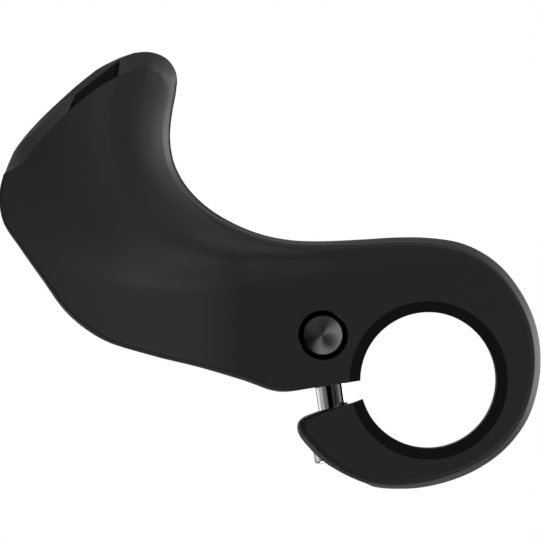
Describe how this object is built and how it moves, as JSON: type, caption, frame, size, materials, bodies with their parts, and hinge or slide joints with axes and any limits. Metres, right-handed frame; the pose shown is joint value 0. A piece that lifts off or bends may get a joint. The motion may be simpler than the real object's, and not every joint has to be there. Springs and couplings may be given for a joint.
{
  "type": "bicycle bar end",
  "caption": "Moulded horn that clamps inside the grip of a handlebar: a curved thumb rest on a short arm, a split clamp with a liner, a barrel nut across the arm and a socket bolt from below.",
  "frame": {"origin": "on the axis of the clamp's bore, midway between the clamp's two flat sides", "axes": "+Y along the handlebar, away from the side that the picture shows; -X towards the horn; +Z towards the horn's tip"},
  "size_m": [0.0883, 0.022, 0.0714],
  "materials": {
    "body_plastic": "fine moulded satin, black",
    "liner_plastic": "matt black",
    "nut_steel": "turned end faces, brushed from the centre",
    "washer_steel": "plain",
    "bolt_steel": "bright"
  },
  "bodies": {
    "clamp": {"horn_body": "body_plastic", "clamp_liner": "liner_plastic"},
    "nut": {"barrel_nut": "nut_steel"},
    "washer": {"clamp_washer": "washer_steel"},
    "bolt": {"clamp_bolt": "bolt_steel"}
  },
  "joints": [
    {"name": "nut_swivel", "type": "hinge", "parent": "clamp", "child": "nut", "pos_m": [-0.0172, 0, 0.00737], "axis": [0, 1, 0], "range_deg": [-0.5, 0.5]},
    {"name": "washer_slide", "type": "slide", "parent": "nut", "child": "washer", "axis": [0.1392, 0, -0.9903], "range_m": [0, 0.0064]},
    {"name": "bolt_turn", "type": "hinge", "parent": "washer", "child": "bolt", "pos_m": [-0.0172, 0, 0.00737], "axis": [0.1392, 0, -0.9903], "range_deg": [0, 2881]}
  ],
  "couplings": [
    {"joint": "bolt_turn", "follows": "washer_slide", "rad_per_m": 7854}
  ]
}
